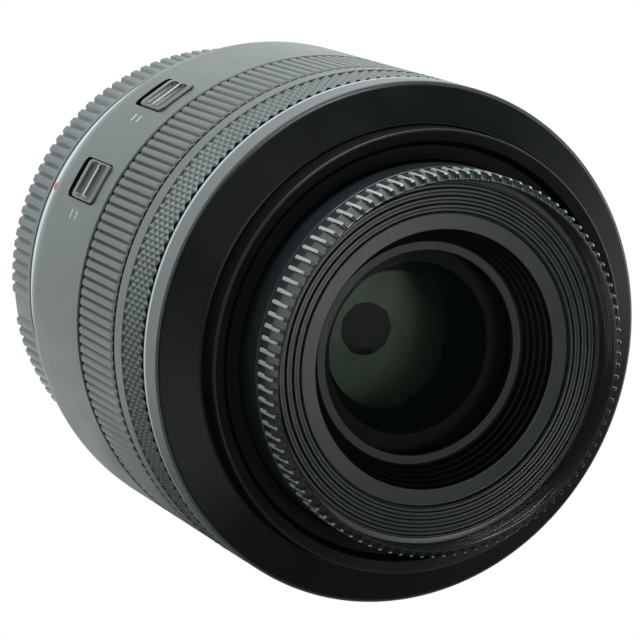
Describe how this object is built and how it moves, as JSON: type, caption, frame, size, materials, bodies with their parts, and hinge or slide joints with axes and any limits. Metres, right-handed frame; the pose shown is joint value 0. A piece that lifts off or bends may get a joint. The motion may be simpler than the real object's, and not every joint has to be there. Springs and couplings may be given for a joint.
{
  "type": "camera macro lens",
  "caption": "Compact macro lens for a mirrorless camera, standing on its dust cap, with focus and control rings, side switches and a partly extended inner barrel.",
  "frame": {"origin": "On the optical axis, in the plane of the mount's flange, where the lens meets the camera.", "axes": "+Z runs along the optical axis from the camera to the subject. +X is the azimuth 0 that the switches are measured from: the stabiliser switch is at 127.3 degrees from +X towards +Y and the focus mode switch at 153.3 degrees."},
  "size_m": [0.0744, 0.0744, 0.0823],
  "materials": {
    "grey_shell": "satin",
    "black_shell": "satin",
    "grey_plastic": "matte",
    "cap_plastic": "matte",
    "black_metal": "matte",
    "dark_ring": "satin",
    "silver_trim": "satin",
    "chromed_brass": "polished",
    "steel": "satin",
    "motor_can": "satin",
    "brass": "polished",
    "felt": "matte",
    "board": "satin",
    "moulding": "matte",
    "blade_steel": "matte",
    "magnet": "satin",
    "glass": "polished"
  },
  "bodies": {
    "barrel": {"mount_ring": "chromed_brass", "mount_screws": "steel", "contact_block": "moulding", "contact_pins": "brass", "rear_baffle": "moulding", "rear_trim_ring": "silver_trim", "rear_barrel": "grey_shell", "front_trim_ring": "silver_trim", "front_shell": "grey_shell", "front_bezel": "black_shell", "barrel_seal": "felt", "guide_tube": "moulding", "guide_shafts": "steel", "main_board": "board", "click_spring": "steel", "ring_sensor": "moulding", "focus_motor": "motor_can", "motor_bracket": "steel", "switch_boards": "board"},
    "focus_unit": {"inner_barrel": "black_metal", "filter_ring": "dark_ring", "front_plate": "black_metal", "retaining_ring": "dark_ring", "front_cell": "black_metal", "glass_spacer": "black_metal", "lens_frame": "moulding", "drive_nut": "moulding", "iris_base": "moulding", "iris_cover": "moulding", "iris_motor": "motor_can", "coil_board": "board", "glass_group_1": "glass", "glass_group_2": "glass", "glass_group_3": "glass", "glass_group_4": "glass", "glass_group_6": "glass", "glass_group_7": "glass", "glass_group_8": "glass", "glass_group_9": "glass"},
    "focus_ring": {"focus_ring": "moulding", "focus_grip": "grey_plastic"},
    "control_ring": {"control_ring": "grey_plastic"},
    "lead_screw": {"lead_screw": "steel"},
    "iris_ring": {"iris_ring": "moulding"},
    "stabiliser_plate": {"stabiliser_plate": "steel"},
    "stabiliser_carrier": {"stabiliser_carrier": "moulding", "stabiliser_magnets": "magnet", "glass_group_5": "glass"},
    "stabiliser_switch": {"stabiliser_switch": "grey_plastic"},
    "focus_mode_switch": {"focus_mode_switch": "grey_plastic"},
    "rear_cap": {"rear_cap": "cap_plastic"},
    "iris_blade_1": {"iris_blade_1": "blade_steel"},
    "iris_blade_2": {"iris_blade_2": "blade_steel"},
    "iris_blade_3": {"iris_blade_3": "blade_steel"},
    "iris_blade_4": {"iris_blade_4": "blade_steel"},
    "iris_blade_5": {"iris_blade_5": "blade_steel"},
    "iris_blade_6": {"iris_blade_6": "blade_steel"},
    "iris_blade_7": {"iris_blade_7": "blade_steel"},
    "iris_blade_8": {"iris_blade_8": "blade_steel"},
    "iris_blade_9": {"iris_blade_9": "blade_steel"}
  },
  "joints": [
    {"name": "focus_travel", "type": "slide", "parent": "barrel", "child": "focus_unit", "axis": [0, 0, 1], "range_m": [-0.0088, 0.0085]},
    {"name": "lead_screw_turn", "type": "hinge", "parent": "barrel", "child": "lead_screw", "pos_m": [0.0143, -0.02477, 0], "axis": [0, 0, 1], "range_deg": [-2641, 2551]},
    {"name": "focus_ring_turn", "type": "hinge", "parent": "barrel", "child": "focus_ring", "pos_m": [0, 0, 0], "axis": [0, 0, 1], "continuous": true},
    {"name": "control_ring_turn", "type": "hinge", "parent": "barrel", "child": "control_ring", "pos_m": [0, 0, 0], "axis": [0, 0, 1], "continuous": true},
    {"name": "iris_ring_turn", "type": "hinge", "parent": "focus_unit", "child": "iris_ring", "pos_m": [0, 0, 0], "axis": [0, 0, 1], "range_deg": [-10.6, 5.85]},
    {"name": "stabiliser_x", "type": "slide", "parent": "focus_unit", "child": "stabiliser_plate", "axis": [1, 0, 0], "range_m": [-0.0008, 0.0008], "stiffness_N_per_m": 100},
    {"name": "stabiliser_y", "type": "slide", "parent": "stabiliser_plate", "child": "stabiliser_carrier", "axis": [0, 1, 0], "range_m": [-0.0008, 0.0008], "stiffness_N_per_m": 100},
    {"name": "stabiliser_switch_slide", "type": "slide", "parent": "barrel", "child": "stabiliser_switch", "axis": [0, 0, -1], "range_m": [0, 0.0018]},
    {"name": "focus_mode_switch_slide", "type": "slide", "parent": "barrel", "child": "focus_mode_switch", "axis": [0, 0, -1], "range_m": [0, 0.0018]},
    {"name": "rear_cap_pull", "type": "slide", "parent": "barrel", "child": "rear_cap", "axis": [0, 0, -1], "range_m": [0, 0.018]},
    {"name": "blade_1_turn", "type": "hinge", "parent": "focus_unit", "child": "iris_blade_1", "pos_m": [0.016, 0, 0], "axis": [0, 0, 1], "range_deg": [-21.2, 11.7]},
    {"name": "blade_2_turn", "type": "hinge", "parent": "focus_unit", "child": "iris_blade_2", "pos_m": [0.01226, 0.01029, 0], "axis": [0, 0, 1], "range_deg": [-21.2, 11.7]},
    {"name": "blade_3_turn", "type": "hinge", "parent": "focus_unit", "child": "iris_blade_3", "pos_m": [0.00278, 0.01576, 0], "axis": [0, 0, 1], "range_deg": [-21.2, 11.7]},
    {"name": "blade_4_turn", "type": "hinge", "parent": "focus_unit", "child": "iris_blade_4", "pos_m": [-0.008, 0.01386, 0], "axis": [0, 0, 1], "range_deg": [-21.2, 11.7]},
    {"name": "blade_5_turn", "type": "hinge", "parent": "focus_unit", "child": "iris_blade_5", "pos_m": [-0.01503, 0.00547, 0], "axis": [0, 0, 1], "range_deg": [-21.2, 11.7]},
    {"name": "blade_6_turn", "type": "hinge", "parent": "focus_unit", "child": "iris_blade_6", "pos_m": [-0.01503, -0.00547, 0], "axis": [0, 0, 1], "range_deg": [-21.2, 11.7]},
    {"name": "blade_7_turn", "type": "hinge", "parent": "focus_unit", "child": "iris_blade_7", "pos_m": [-0.008, -0.01386, 0], "axis": [0, 0, 1], "range_deg": [-21.2, 11.7]},
    {"name": "blade_8_turn", "type": "hinge", "parent": "focus_unit", "child": "iris_blade_8", "pos_m": [0.00278, -0.01576, 0], "axis": [0, 0, 1], "range_deg": [-21.2, 11.7]},
    {"name": "blade_9_turn", "type": "hinge", "parent": "focus_unit", "child": "iris_blade_9", "pos_m": [0.01226, -0.01029, 0], "axis": [0, 0, 1], "range_deg": [-21.2, 11.7]}
  ],
  "couplings": [
    {"joint": "lead_screw_turn", "follows": "focus_travel", "rad_per_m": 5236},
    {"joint": "blade_1_turn", "follows": "iris_ring_turn", "ratio": 2},
    {"joint": "blade_2_turn", "follows": "iris_ring_turn", "ratio": 2},
    {"joint": "blade_3_turn", "follows": "iris_ring_turn", "ratio": 2},
    {"joint": "blade_4_turn", "follows": "iris_ring_turn", "ratio": 2},
    {"joint": "blade_5_turn", "follows": "iris_ring_turn", "ratio": 2},
    {"joint": "blade_6_turn", "follows": "iris_ring_turn", "ratio": 2},
    {"joint": "blade_7_turn", "follows": "iris_ring_turn", "ratio": 2},
    {"joint": "blade_8_turn", "follows": "iris_ring_turn", "ratio": 2},
    {"joint": "blade_9_turn", "follows": "iris_ring_turn", "ratio": 2}
  ]
}
